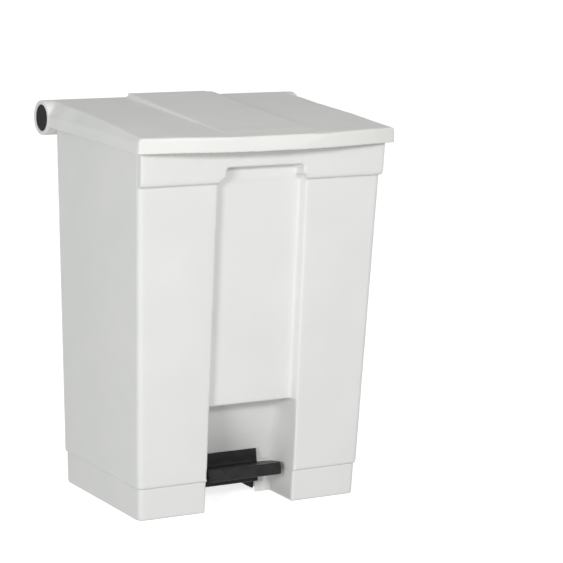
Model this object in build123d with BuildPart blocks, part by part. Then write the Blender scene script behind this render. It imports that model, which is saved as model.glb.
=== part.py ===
"""White plastic step-on waste bin: tapered tub on a plinth, full-width rear lid hinge, black pedal.

Millimetres. +X is the bin's right, +Y its rear, +Z up. The origin lies on the floor, below the
middle of the whole bin. The lid is closed and the pedal is up.
"""
from build123d import *
from math import asin, copysign, cos, degrees, radians, sin, tan

# ---------------------------------------------------------------- driving dimensions
# Tapered body: each wall leans out a little from the floor to the rim.
HALF_WIDTH_AT_FLOOR = 212.9
SIDE_LEAN = 0.034
FRONT_AT_FLOOR = -139.6
FRONT_LEAN = -0.016
REAR_AT_FLOOR = 139.6
REAR_LEAN = 0.029
BODY_CORNER = 10.0
WALL = 3.5
PLINTH_TOP = 54.6
PLINTH_INSET = 2.8
PLINTH_WALL = 4.7
RIM_TOP = 638.0
FLOOR_UNDERSIDE = 80.0
FLOOR_TOP = 84.0

# Front channel, the pedal recess below it and the band under the rim.
CHANNEL_HALF = 85.0
CHANNEL_FLOOR_HALF = 80.0
CHANNEL_DEPTH = 16.0
RECESS_TOP = 180.0
RECESS_BACK_TOP = -88.0
RECESS_BACK_FOOT = -50.0
PLINTH_RECESS_BACK = -60.0
BAND_FRONT = -158.0
BAND_HALF = 237.0
BAND_BOTTOM = 563.0
BAND_ARCH_TOP = 588.8
BAND_ARCH_HALF = 74.0
BAND_ARCH_CORNER = 8.0
BAND_END_RADIUS = 8.0

# Lid and hinge.
HINGE_Y = 177.7
HINGE_Z = 635.5
BARREL_RADIUS = 30.0
BARREL_BORE = 22.5
BARREL_HALF = 251.0
BARREL_EDGE = 3.0
LID_HALF = 249.5
LID_FRONT_MIDDLE = -207.7
LID_FRONT_CORNER = -169.0
LID_CORNER = 7.0
LID_WALL = 3.5
SKIRT_BOTTOM = 621.0
SKIRT_TOP = 643.0
LID_FRONT_TOP = 646.5
FRONT_FACE_LEAN = 5.0
SHOULDER_ANGLE = 49.0
PANEL_HALF = 85.5
PANEL_RISE = 7.3
PANEL_FADE_Y = -128.0
LID_OPENING = 70.0

# Hinge rod and the two brackets that carry it behind the tub.
ROD_RADIUS = 12.0
ROD_BORE = 10.0
ROD_HALF = 239.0
KNUCKLE_X = 130.0
KNUCKLE_HALF = 11.0
KNUCKLE_RADIUS = 17.0
KNUCKLE_FOOT = (585.0, 612.0)
WINDOW_HALF = 14.0
WINDOW_START = 195.0
WINDOW_END = 355.0
WEB_THICKNESS = 3.0
RUNNING = 0.06
PRESS_FIT = 0.02
AXLE_FIT = 0.05
SCREW_CLEARANCE = 0.3

# Pedal lever: it pivots under the tub and lifts the rod behind it.
PIVOT_Y = -10.0
PIVOT_Z = 46.0
LEVER_REACH = 132.0
LIFT_ROD_RADIUS = 4.0
AXLE_RADIUS = 5.0
AXLE_HALF = 67.0
LEVER_X = 40.0
LEVER_THICKNESS = 4.0
PEDAL_HALF = 77.0
PEDAL_CORNER = 15.0
SHIELD_HALF = 54.0
CONTACT_GAP = 0.3

# The lug under the lid: its nose swings from below the hinge to above it.
LUG_REACH = 42.0
LUG_START = -30.0
LUG_NOSE = 5.0

# Rear groove for the lift rod, closed by a screwed cover.
GROOVE_HALF = 28.0
GROOVE_DEPTH = 30.0
COVER_HALF = 38.0
COVER_THICKNESS = 2.5
COVER_BOTTOM = 62.0
COVER_TOP = 598.0

# ---------------------------------------------------------------- derived values
lug_end = LUG_START + LID_OPENING
lift_travel = LUG_REACH * (sin(radians(lug_end)) - sin(radians(LUG_START)))
pedal_travel = 2 * degrees(asin(lift_travel / 2 / LEVER_REACH))
pedal_tilt = pedal_travel / 2
nose_y = HINGE_Y - LUG_REACH * cos(radians(LUG_START))
nose_z = HINGE_Z + LUG_REACH * sin(radians(LUG_START))
lift_bar_y = PIVOT_Y + LEVER_REACH * cos(radians(pedal_tilt))
lift_bar_z = PIVOT_Z - LEVER_REACH * sin(radians(pedal_tilt))
foot_bottom = lift_bar_z + AXLE_RADIUS + CONTACT_GAP
pusher_top = nose_z - LUG_NOSE - CONTACT_GAP
rod_foot_y = lift_bar_y + 1.2
lid_slope = (HINGE_Z + BARREL_RADIUS - LID_FRONT_TOP) / (HINGE_Y - LID_FRONT_MIDDLE - FRONT_FACE_LEAN)
print(f"lift travel {lift_travel:.3f} mm, pedal travel {pedal_travel:.3f} degrees")


def half_width(height):
    """Half the body's outer width at a height."""
    return HALF_WIDTH_AT_FLOOR + SIDE_LEAN * height


def front_y(height):
    """The body's outer front face at a height."""
    return FRONT_AT_FLOOR + FRONT_LEAN * height


def rear_y(height):
    """The body's outer rear face at a height."""
    return REAR_AT_FLOOR + REAR_LEAN * height


def rod_y(height):
    """The lift rod's axis, parallel to the rear wall."""
    return rod_foot_y + REAR_LEAN * (height - foot_bottom)


def lid_top(y):
    """The lid's main top surface in the side view."""
    return HINGE_Z + BARREL_RADIUS - lid_slope * (HINGE_Y - y)


def tapered_block(bottom, top, inset, corner):
    """The body's outline moved in by inset, between two heights."""
    with BuildPart() as block:
        for height in (bottom, top):
            with BuildSketch(Plane.XY.offset(height)):
                with Locations((0, (front_y(height) + rear_y(height)) / 2)):
                    RectangleRounded(
                        2 * (half_width(height) - inset),
                        rear_y(height) - front_y(height) - 2 * inset,
                        corner,
                    )
        loft(ruled=True)
    return block.part


def side_prism(points, left, right):
    """Solid with one outline in the side view, from x = left to x = right."""
    with BuildPart() as prism:
        with BuildSketch(Plane.YZ.offset(left)):
            with BuildLine():
                Polyline(*points, close=True)
            make_face()
        extrude(amount=right - left)
    return prism.part


def channel_block(bottom, top, side_gap, start, depth):
    """Channel with drafted sides that follows the leaning front face, from start to depth inside it."""
    draft = (CHANNEL_HALF - CHANNEL_FLOOR_HALF) / CHANNEL_DEPTH
    with BuildPart() as block:
        for height in (bottom, top):
            near = front_y(height) + start
            far = front_y(height) + depth
            near_half = CHANNEL_HALF + side_gap - draft * start
            far_half = CHANNEL_HALF + side_gap - draft * depth
            with BuildSketch(Plane.XY.offset(height)):
                with BuildLine():
                    Polyline(
                        (-near_half, near), (near_half, near), (far_half, far), (-far_half, far),
                        close=True,
                    )
                make_face()
        loft(ruled=True)
    return block.part


def rear_strip(bottom, top, inner, outer, half):
    """Slab parallel to the leaning rear wall; inner and outer are measured outward from the wall."""
    return side_prism(
        [
            (rear_y(bottom) + inner, bottom),
            (rear_y(bottom) + outer, bottom),
            (rear_y(top) + outer, top),
            (rear_y(top) + inner, top),
        ],
        -half,
        half,
    )


def cross_cylinder(y, z, radius, left, right):
    """Cylinder lying across the bin, from x = left to x = right."""
    with BuildPart() as cylinder:
        with BuildSketch(Plane.YZ.offset(left)):
            with Locations((y, z)):
                Circle(radius)
        extrude(amount=right - left)
    return cylinder.part


def write_node(part, label):
    """Label one finished sub-part and write its STEP file."""
    part.label = label
    export_step(part, f"parts/{label}.step")


# Screw positions that several pieces share.
COVER_SCREW_X = 33.0
COVER_SCREW_HEIGHTS = (95.0, 330.0, 565.0)
cover_screw_spots = [(x, z) for x in (-COVER_SCREW_X, COVER_SCREW_X) for z in COVER_SCREW_HEIGHTS]
BRACKET_SCREW_REACH = 16.5
BRACKET_SCREW_HEIGHT = 592.0
bracket_screw_spots = [
    (side * KNUCKLE_X + offset, BRACKET_SCREW_HEIGHT)
    for side in (-1, 1)
    for offset in (-BRACKET_SCREW_REACH, BRACKET_SCREW_REACH)
]
BASE_SCREW_X = 188.0
BASE_SCREW_Y = 108.0
base_screw_spots = [
    (x, y) for x in (-BASE_SCREW_X, BASE_SCREW_X) for y in (-BASE_SCREW_Y, BASE_SCREW_Y)
]
BASE_SCREW_RADIUS = 2.5
COVER_SCREW_RADIUS = 2.0
BOSS_RADIUS = 7.0
BASE_SCREW_DEPTH = 14.0
BASE_SCREW_HEAD = 3.0
BOSS_GAP = 0.2
PILOT_REACH = 40.0


# ---------------------------------------------------------------- tub
recess_outline = [
    (BAND_FRONT, PLINTH_TOP - 1),
    (BAND_FRONT, RECESS_TOP),
    (RECESS_BACK_TOP, RECESS_TOP),
    (RECESS_BACK_FOOT, PLINTH_TOP - 1),
]
recess_housing = [
    (front_y(PLINTH_TOP) + 1, PLINTH_TOP),
    (front_y(RECESS_TOP) + 1, RECESS_TOP + WALL),
    (RECESS_BACK_TOP + WALL, RECESS_TOP + WALL),
    (RECESS_BACK_FOOT + WALL, PLINTH_TOP),
]
band_outline = [
    (front_y(BAND_BOTTOM) + 1, BAND_BOTTOM),
    (BAND_FRONT, BAND_BOTTOM),
    (BAND_FRONT - 1, RIM_TOP),
    (front_y(RIM_TOP) + 1, RIM_TOP),
]
ARCH_OVERCUT = 5.0
LEVER_OPENING_HALF = 50.0
LEVER_OPENING_TOP = 68.0
LEVER_OPENING_DEPTH = 30.0

with BuildPart() as tub:
    add(tapered_block(PLINTH_TOP, RIM_TOP, 0, BODY_CORNER))
    add(tapered_block(FLOOR_TOP, RIM_TOP + 5, WALL, BODY_CORNER - WALL), mode=Mode.SUBTRACT)
    add(tapered_block(PLINTH_TOP - 5, FLOOR_UNDERSIDE, WALL, BODY_CORNER - WALL), mode=Mode.SUBTRACT)

    # Housings for the pedal recess, the front channel and the rear groove.
    add(side_prism(recess_housing, -CHANNEL_HALF - WALL, CHANNEL_HALF + WALL))
    add(channel_block(RECESS_TOP, BAND_ARCH_TOP + WALL, WALL, 1, CHANNEL_DEPTH + WALL))
    add(rear_strip(PLINTH_TOP, RIM_TOP, -GROOVE_DEPTH - WALL, -1, GROOVE_HALF + WALL))

    # Band under the rim, with rounded ends and an arch over the channel.
    add(side_prism(band_outline, -BAND_HALF, BAND_HALF))
    band_ends = tub.edges().filter_by(Axis.Z, tolerance=2).filter_by_position(
        Axis.Y, BAND_FRONT - 2, BAND_FRONT + 1
    )
    fillet(band_ends, BAND_END_RADIUS)
    arch_depth = front_y(BAND_ARCH_TOP) + CHANNEL_DEPTH
    with BuildSketch(Plane.XZ.offset(-arch_depth)):
        with BuildLine():
            for side in (-1, 1):
                foot = side * (BAND_ARCH_HALF + BAND_ARCH_CORNER)
                Line((0, BAND_BOTTOM - ARCH_OVERCUT), (foot, BAND_BOTTOM - ARCH_OVERCUT))
                Line((foot, BAND_BOTTOM - ARCH_OVERCUT), (foot, BAND_BOTTOM))
                RadiusArc(
                    (foot, BAND_BOTTOM),
                    (side * BAND_ARCH_HALF, BAND_BOTTOM + BAND_ARCH_CORNER),
                    -side * BAND_ARCH_CORNER,
                )
                Line(
                    (side * BAND_ARCH_HALF, BAND_BOTTOM + BAND_ARCH_CORNER),
                    (side * BAND_ARCH_HALF, BAND_ARCH_TOP),
                )
                Line((side * BAND_ARCH_HALF, BAND_ARCH_TOP), (0, BAND_ARCH_TOP))
        make_face()
    extrude(amount=arch_depth - BAND_FRONT + ARCH_OVERCUT, mode=Mode.SUBTRACT)

    # Channel and recess, open to the front.
    add(channel_block(RECESS_TOP - 1, BAND_BOTTOM, 0, -1, CHANNEL_DEPTH), mode=Mode.SUBTRACT)
    add(side_prism(recess_outline, -CHANNEL_HALF, CHANNEL_HALF), mode=Mode.SUBTRACT)

    # Opening behind the pedal's shield, where the levers pass.
    with BuildSketch(Plane.XY.offset(PLINTH_TOP - 1)):
        with Locations((0, RECESS_BACK_FOOT)):
            Rectangle(2 * LEVER_OPENING_HALF, LEVER_OPENING_DEPTH)
    extrude(amount=LEVER_OPENING_TOP - PLINTH_TOP + 1, mode=Mode.SUBTRACT)

    # Rear groove, open below and above.
    add(
        rear_strip(PLINTH_TOP - 1, RIM_TOP + 1, -GROOVE_DEPTH, 5, GROOVE_HALF),
        mode=Mode.SUBTRACT,
    )
    # Below the floor the groove has no side walls, so the lift bar and the rod's foot can rise.
    add(
        rear_strip(
            PLINTH_TOP - 1,
            FLOOR_UNDERSIDE,
            -GROOVE_DEPTH - WALL - 1,
            -WALL,
            GROOVE_HALF + WALL + 1,
        ),
        mode=Mode.SUBTRACT,
    )

    # Bosses for the screws that hold the plinth.
    with BuildSketch(Plane.XY.offset(PLINTH_TOP + BOSS_GAP)):
        with Locations(*base_screw_spots):
            Circle(BOSS_RADIUS)
    extrude(amount=FLOOR_UNDERSIDE - PLINTH_TOP)
    with BuildSketch(Plane.XY.offset(PLINTH_TOP)):
        with Locations(*base_screw_spots):
            Circle(BASE_SCREW_RADIUS)
    extrude(amount=BASE_SCREW_DEPTH, mode=Mode.SUBTRACT)

    # The rear rim is scooped out around the lid's barrel.
    add(
        cross_cylinder(HINGE_Y, HINGE_Z, BARREL_RADIUS + 1, -LID_HALF, LID_HALF),
        mode=Mode.SUBTRACT,
    )

    # Pilot holes for the rear cover's and the hinge brackets' screws.
    with BuildSketch(Plane.XZ.offset(-rear_y(RIM_TOP) - 1)):
        with Locations(*cover_screw_spots, *bracket_screw_spots):
            Circle(COVER_SCREW_RADIUS)
    extrude(amount=PILOT_REACH, mode=Mode.SUBTRACT)
write_node(tub.part, "tub")


# ---------------------------------------------------------------- hinge brackets
PLATE_HALF = 22.0
PLATE_THICKNESS = 3.0
PLATE_BOTTOM = 579.0
PLATE_TOP = 603.0
for side, label in ((-1, "hinge_bracket_left"), (1, "hinge_bracket_right")):
    centre = side * KNUCKLE_X
    with BuildPart() as hinge_bracket:
        with BuildSketch(Plane.YZ.offset(centre - KNUCKLE_HALF)):
            with BuildLine():
                CenterArc((HINGE_Y, HINGE_Z), KNUCKLE_RADIUS, 0, 360)
                Line(
                    (rear_y(KNUCKLE_FOOT[0]), KNUCKLE_FOOT[0]),
                    (rear_y(KNUCKLE_FOOT[1]), KNUCKLE_FOOT[1]),
                )
            make_hull()
        extrude(amount=2 * KNUCKLE_HALF)
        add(
            side_prism(
                [
                    (rear_y(PLATE_BOTTOM), PLATE_BOTTOM),
                    (rear_y(PLATE_BOTTOM) + PLATE_THICKNESS, PLATE_BOTTOM),
                    (rear_y(PLATE_TOP) + PLATE_THICKNESS, PLATE_TOP),
                    (rear_y(PLATE_TOP), PLATE_TOP),
                ],
                centre - PLATE_HALF,
                centre + PLATE_HALF,
            )
        )
        add(
            cross_cylinder(HINGE_Y, HINGE_Z, ROD_RADIUS + RUNNING, -LID_HALF, LID_HALF),
            mode=Mode.SUBTRACT,
        )
        with BuildSketch(Plane.XZ.offset(-rear_y(RIM_TOP) - 10)):
            with Locations(*bracket_screw_spots):
                Circle(COVER_SCREW_RADIUS + SCREW_CLEARANCE)
        extrude(amount=PILOT_REACH, mode=Mode.SUBTRACT)
    write_node(hinge_bracket.part, label)


# ---------------------------------------------------------------- plinth under the tub
RAIL_HALF = 59.0
RAIL_THICKNESS = 4.0
RAIL_BOTTOM = 4.0
REST_Y = 93.0
REST_HALF_LENGTH = 6.0
REST_TOP = 13.5
LUG_PLATE = 4.0
SPIGOT = 9.0
SPIGOT_GAP = 0.2
FRAME_INNER_HALF = 206.5
RAIL_REAR = 132.0
LINING_FRONT = -136.0
RECESS_CLEAR_HALF = 91.0
SCREW_PLATE_SIZE = (34.0, 38.0)
SCREW_PLATE_SHIFT = (2.8, 5.4)
FRAME_WEB_PLACES = (-40.0, 60.0)
FRAME_WEB_HEIGHT = 30.0
rail_outer = RAIL_HALF + RAIL_THICKNESS / 2
rail_inner = RAIL_HALF - RAIL_THICKNESS / 2
lining_rear = RECESS_BACK_FOOT + WALL

plinth_recess = [
    (BAND_FRONT, -1),
    (BAND_FRONT, PLINTH_TOP + 1),
    (RECESS_BACK_FOOT, PLINTH_TOP + 1),
    (PLINTH_RECESS_BACK, -1),
]
recess_lining = [
    (RECESS_BACK_FOOT, PLINTH_TOP),
    (RECESS_BACK_FOOT + WALL, PLINTH_TOP),
    (PLINTH_RECESS_BACK + WALL, 0),
    (PLINTH_RECESS_BACK, 0),
]
with BuildPart() as base_frame:
    add(tapered_block(0, PLINTH_TOP, PLINTH_INSET, BODY_CORNER - 1))
    add(tapered_block(PLINTH_TOP - 1, PLINTH_TOP + SPIGOT, WALL + SPIGOT_GAP, BODY_CORNER - WALL))
    add(
        tapered_block(-5, PLINTH_TOP + SPIGOT + 5, PLINTH_INSET + PLINTH_WALL, BODY_CORNER - 5),
        mode=Mode.SUBTRACT,
    )
    add(side_prism(plinth_recess, -CHANNEL_HALF, CHANNEL_HALF), mode=Mode.SUBTRACT)
    with BuildSketch(Plane.XY.offset(PLINTH_TOP)):
        Rectangle(2 * RECESS_CLEAR_HALF, 2 * LID_HALF)
    extrude(amount=SPIGOT + 1, mode=Mode.SUBTRACT)

    # Lining of the pedal recess between the two front feet.
    with BuildSketch():
        for side in (-1, 1):
            with Locations((side * (CHANNEL_HALF + WALL / 2), (LINING_FRONT + lining_rear) / 2)):
                Rectangle(WALL, lining_rear - LINING_FRONT)
    extrude(amount=PLINTH_TOP)
    for edges in ((-CHANNEL_HALF - WALL / 2, -rail_inner), (rail_inner, CHANNEL_HALF + WALL / 2)):
        add(side_prism(recess_lining, *edges))

    # Side webs meet the axle cradle's rails, and lugs take the screws from below.
    for side in (-1, 1):
        for y in FRAME_WEB_PLACES:
            with BuildSketch(Plane.XY.offset(RAIL_BOTTOM)):
                with Locations((side * (rail_outer + FRAME_INNER_HALF) / 2, y)):
                    Rectangle(FRAME_INNER_HALF - rail_outer, WALL)
            extrude(amount=FRAME_WEB_HEIGHT)
    with BuildSketch(Plane.XY.offset(PLINTH_TOP - LUG_PLATE)):
        for x, y in base_screw_spots:
            with Locations(
                (x + copysign(SCREW_PLATE_SHIFT[0], x), y + copysign(SCREW_PLATE_SHIFT[1], y))
            ):
                Rectangle(*SCREW_PLATE_SIZE)
    extrude(amount=LUG_PLATE)
    with BuildSketch(Plane.XY.offset(PLINTH_TOP - LUG_PLATE)):
        with Locations(*base_screw_spots):
            Circle(BASE_SCREW_RADIUS + SCREW_CLEARANCE)
    extrude(amount=LUG_PLATE, mode=Mode.SUBTRACT)
write_node(base_frame.part, "base_frame")


# ---------------------------------------------------------------- axle cradle
with BuildPart() as axle_cradle:
    for side in (-1, 1):
        with BuildSketch(Plane.XY.offset(RAIL_BOTTOM)):
            with Locations((side * RAIL_HALF, (lining_rear + RAIL_REAR) / 2)):
                Rectangle(RAIL_THICKNESS, RAIL_REAR - lining_rear)
        extrude(amount=PLINTH_TOP - RAIL_BOTTOM)
    add(
        cross_cylinder(PIVOT_Y, PIVOT_Z, AXLE_RADIUS + AXLE_FIT, -AXLE_HALF, AXLE_HALF),
        mode=Mode.SUBTRACT,
    )
    # Cross bar on which the levers rest through a pad.
    with BuildSketch(Plane.XY.offset(RAIL_BOTTOM)):
        with Locations((0, REST_Y)):
            Rectangle(2 * RAIL_HALF, 2 * REST_HALF_LENGTH)
    extrude(amount=REST_TOP - RAIL_BOTTOM)
write_node(axle_cradle.part, "axle_cradle")


# ---------------------------------------------------------------- small pieces fixed to the tub
with BuildPart() as base_screws:
    for x, y in base_screw_spots:
        with BuildSketch(Plane.XY.offset(PLINTH_TOP - LUG_PLATE)):
            with Locations((x, y)):
                Circle(BASE_SCREW_RADIUS - AXLE_FIT)
        extrude(amount=LUG_PLATE + BASE_SCREW_DEPTH - 1)
        with BuildSketch(Plane.XY.offset(PLINTH_TOP - LUG_PLATE)):
            with Locations((x, y)):
                Circle(2 * BASE_SCREW_RADIUS)
        extrude(amount=-BASE_SCREW_HEAD)
write_node(base_screws.part, "base_screws")

AXLE_CHAMFER = 0.8
with BuildPart() as pedal_axle:
    add(cross_cylinder(PIVOT_Y, PIVOT_Z, AXLE_RADIUS, -AXLE_HALF, AXLE_HALF))
    chamfer(pedal_axle.edges().filter_by(GeomType.CIRCLE), AXLE_CHAMFER)
write_node(pedal_axle.part, "pedal_axle")

CLIP_RADIUS = 9.0
CLIP_THICKNESS = 3.0
clip_inner = rail_outer
for side, label in ((-1, "axle_clip_left"), (1, "axle_clip_right")):
    with BuildPart() as axle_clip:
        near = side * clip_inner
        far = side * (clip_inner + CLIP_THICKNESS)
        add(cross_cylinder(PIVOT_Y, PIVOT_Z, CLIP_RADIUS, min(near, far), max(near, far)))
        add(
            cross_cylinder(PIVOT_Y, PIVOT_Z, AXLE_RADIUS + PRESS_FIT, -AXLE_HALF, AXLE_HALF),
            mode=Mode.SUBTRACT,
        )
    write_node(axle_clip.part, label)

PAD_HALF = 46.0
LEVER_UNDERSIDE = 8.5
pad_top = PIVOT_Z - (REST_Y + REST_HALF_LENGTH - PIVOT_Y) * tan(radians(pedal_tilt)) - LEVER_UNDERSIDE
with BuildPart() as rest_pad:
    with BuildSketch(Plane.XY.offset(REST_TOP)):
        with Locations((0, REST_Y)):
            Rectangle(2 * PAD_HALF, 2 * REST_HALF_LENGTH - 2)
    extrude(amount=pad_top - REST_TOP)
write_node(rest_pad.part, "rest_pad")

# The guides stand on the groove's floor and hold the slanting rod.
GUIDE_HALF = 14.0
GUIDE_HEIGHT = 14.0
GUIDE_REACH = 21.0
GUIDE_BORE_OVERRUN = 10.0
LOWER_GUIDE_BOTTOM = 112.0
UPPER_GUIDE_BOTTOM = 540.0
guide_places = ((LOWER_GUIDE_BOTTOM, "lower_rod_guide"), (UPPER_GUIDE_BOTTOM, "upper_rod_guide"))
for bottom, label in guide_places:
    bore_start = bottom - GUIDE_BORE_OVERRUN
    with BuildPart() as rod_guide:
        add(
            rear_strip(
                bottom, bottom + GUIDE_HEIGHT, -GROOVE_DEPTH, -GROOVE_DEPTH + GUIDE_REACH, GUIDE_HALF,
            )
        )
        with BuildSketch(Plane((0, rod_y(bore_start), bore_start), z_dir=(0, REAR_LEAN, 1))):
            Circle(LIFT_ROD_RADIUS + RUNNING)
        extrude(amount=GUIDE_HEIGHT + 2 * GUIDE_BORE_OVERRUN, mode=Mode.SUBTRACT)
    write_node(rod_guide.part, label)

COVER_CHAMFER = 1.2
with BuildPart() as rear_cover:
    add(rear_strip(COVER_BOTTOM, COVER_TOP, 0, COVER_THICKNESS, COVER_HALF))
    chamfer(rear_cover.faces().sort_by(Axis.Y)[-1].edges(), COVER_CHAMFER)
    with BuildSketch(Plane.XZ.offset(-rear_y(RIM_TOP) - 10)):
        with Locations(*cover_screw_spots):
            Circle(COVER_SCREW_RADIUS + SCREW_CLEARANCE)
    extrude(amount=PILOT_REACH, mode=Mode.SUBTRACT)
write_node(rear_cover.part, "rear_cover")

COVER_SCREW_LENGTH = 5.0
PAN_HEAD_HEIGHT = 1.8
PILOT_BITE = 0.2


def wall_screws(spots, stand):
    """Pan-head screws driven into the leaning rear wall through a plate of that thickness."""
    with BuildPart() as screws:
        for x, z in spots:
            seat = Plane((x, rear_y(z) + stand, z), z_dir=(0, 1, -REAR_LEAN))
            with BuildSketch(seat):
                Circle(2 * COVER_SCREW_RADIUS)
            extrude(amount=PAN_HEAD_HEIGHT)
            with BuildSketch(seat):
                Circle(COVER_SCREW_RADIUS - PILOT_BITE)
            extrude(amount=-COVER_SCREW_LENGTH)
    return screws.part


rear_cover_screws = wall_screws(cover_screw_spots, COVER_THICKNESS)
write_node(rear_cover_screws, "rear_cover_screws")

bracket_screws = wall_screws(bracket_screw_spots, PLATE_THICKNESS)
write_node(bracket_screws, "bracket_screws")


# ---------------------------------------------------------------- lid
SHOULDER_OVERRUN = 20.0
FORM_REACH = 500.0


def lid_form(inset, rear_end, skirt_end):
    """The lid's outer form moved in by inset: bowed plan, sloping top and slanted side shoulders."""
    front_edge = LID_FRONT_MIDDLE + inset + FRONT_FACE_LEAN
    top_line = [
        (LID_FRONT_MIDDLE + inset - 1, skirt_end),
        (front_edge, lid_top(front_edge) - inset),
        (rear_end, lid_top(rear_end) - inset),
        (rear_end, skirt_end),
    ]
    shoulder = radians(SHOULDER_ANGLE)
    rise = lid_top(rear_end) - SKIRT_TOP
    half = LID_HALF - inset
    # The shoulder plane keeps its distance from the outer one.
    crease = SKIRT_TOP - inset * tan(shoulder / 2)
    overrun = rise + SHOULDER_OVERRUN
    with BuildPart() as form:
        with BuildSketch(Plane.YZ.offset(-half)):
            with BuildLine():
                Polyline(*top_line, close=True)
            make_face()
        extrude(amount=2 * half)
        with BuildSketch(Plane.XY.offset(skirt_end - 1)) as plan:
            with BuildLine():
                front = ThreePointArc(
                    (-half, LID_FRONT_CORNER + inset),
                    (0, LID_FRONT_MIDDLE + inset),
                    (half, LID_FRONT_CORNER + inset),
                )
                Polyline(front @ 1, (half, rear_end), (-half, rear_end), front @ 0)
            make_face()
            fillet(plan.vertices().group_by(Axis.Y)[0], LID_CORNER - inset)
        extrude(amount=FORM_REACH, mode=Mode.INTERSECT)
        with BuildSketch(Plane.XZ.offset(-rear_end)):
            with BuildLine():
                Polyline(
                    (-half, skirt_end - 5),
                    (-half, crease),
                    (-half + overrun / tan(shoulder), crease + overrun),
                    (half - overrun / tan(shoulder), crease + overrun),
                    (half, crease),
                    (half, skirt_end - 5),
                    close=True,
                )
            make_face()
        extrude(amount=FORM_REACH, mode=Mode.INTERSECT)
    return form.part


panel_outline = [
    (HINGE_Y, lid_top(HINGE_Y) - LID_WALL),
    (HINGE_Y, lid_top(HINGE_Y) + PANEL_RISE),
    (PANEL_FADE_Y, lid_top(PANEL_FADE_Y)),
    (PANEL_FADE_Y, lid_top(PANEL_FADE_Y) - LID_WALL),
]
BUMPER_X = 150.0
BUMPER_Y = -150.0
BUMPER_RADIUS = 7.0
BUMPER_SEAT = 643.5
BUMPER_BOSS = 9.0
BOSS_DEPTH_BELOW_TOP = 1.5
WINDOW_REACH = 42.0

with BuildPart() as barrel:
    add(cross_cylinder(HINGE_Y, HINGE_Z, BARREL_RADIUS, -BARREL_HALF, BARREL_HALF))
    fillet(barrel.edges().filter_by(GeomType.CIRCLE), BARREL_EDGE)

with BuildPart() as lid:
    add(lid_form(0, HINGE_Y, SKIRT_BOTTOM))
    add(lid_form(LID_WALL, HINGE_Y + 1, SKIRT_BOTTOM - 2), mode=Mode.SUBTRACT)
    add(side_prism(panel_outline, -PANEL_HALF, PANEL_HALF))
    add(barrel.part)
    add(
        cross_cylinder(HINGE_Y, HINGE_Z, BARREL_BORE, -BARREL_HALF, BARREL_HALF),
        mode=Mode.SUBTRACT,
    )

    # Windows for the tub's knuckles, with a web on each side that carries the hinge rod.
    for centre in (-KNUCKLE_X, KNUCKLE_X):
        for web_start in (centre - WINDOW_HALF - WEB_THICKNESS, centre + WINDOW_HALF):
            add(
                cross_cylinder(HINGE_Y, HINGE_Z, BARREL_BORE + 1, web_start, web_start + WEB_THICKNESS)
            )
        with BuildSketch(Plane.YZ.offset(centre - WINDOW_HALF)):
            with BuildLine():
                sector = CenterArc(
                    (HINGE_Y, HINGE_Z), WINDOW_REACH, WINDOW_START, WINDOW_END - WINDOW_START,
                )
                Polyline(sector @ 1, (HINGE_Y, HINGE_Z), sector @ 0)
            make_face()
        extrude(amount=2 * WINDOW_HALF, mode=Mode.SUBTRACT)
    add(
        cross_cylinder(HINGE_Y, HINGE_Z, ROD_RADIUS + PRESS_FIT, -BARREL_HALF, BARREL_HALF),
        mode=Mode.SUBTRACT,
    )

    # Bosses above the two front bumpers.
    with BuildSketch(Plane.XY.offset(BUMPER_SEAT)):
        with Locations((-BUMPER_X, BUMPER_Y), (BUMPER_X, BUMPER_Y)):
            Circle(BUMPER_BOSS)
    extrude(amount=lid_top(BUMPER_Y) - BOSS_DEPTH_BELOW_TOP - BUMPER_SEAT)
write_node(lid.part, "lid")

with BuildPart() as hinge_rod:
    add(cross_cylinder(HINGE_Y, HINGE_Z, ROD_RADIUS, -ROD_HALF, ROD_HALF))
    add(cross_cylinder(HINGE_Y, HINGE_Z, ROD_BORE, -ROD_HALF, ROD_HALF), mode=Mode.SUBTRACT)
write_node(hinge_rod.part, "hinge_rod")

CAP_RECESS = 1.5
CAP_THICKNESS = 7.0
CAP_HUB_RADIUS = 16.0
CAP_HUB_LENGTH = 14.0
CAP_CHAMFER = 1.0
for side, label in ((-1, "end_cap_left"), (1, "end_cap_right")):
    with BuildPart() as end_cap:
        outer_face = side * (BARREL_HALF - CAP_RECESS)
        inner_face = side * (BARREL_HALF - CAP_RECESS - CAP_THICKNESS)
        hub_face = side * (BARREL_HALF - CAP_RECESS - CAP_THICKNESS - CAP_HUB_LENGTH)
        add(
            cross_cylinder(
                HINGE_Y,
                HINGE_Z,
                BARREL_BORE - PRESS_FIT,
                min(outer_face, inner_face),
                max(outer_face, inner_face),
            )
        )
        add(
            cross_cylinder(
                HINGE_Y, HINGE_Z, CAP_HUB_RADIUS, min(inner_face, hub_face), max(inner_face, hub_face),
            )
        )
        add(
            cross_cylinder(HINGE_Y, HINGE_Z, ROD_RADIUS + PRESS_FIT, -ROD_HALF, ROD_HALF),
            mode=Mode.SUBTRACT,
        )
        chamfer(end_cap.faces().sort_by(Axis.X)[0 if side < 0 else -1].edges(), CAP_CHAMFER)
    write_node(end_cap.part, label)

# The lug: a plate under the lid and a web down to a rounded nose.
LUG_PLATE_HALF = 22.0
LUG_WEB_HALF = 6.0
LUG_PLATE_FRONT = 104.0
LUG_PLATE_REAR = 142.0
LUG_PLATE_THICKNESS = 4.0
LUG_WEB_FRONT = 122.0


def lid_underside(y):
    """The lid's inner surface in the side view."""
    return lid_top(y) - LID_WALL


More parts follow.
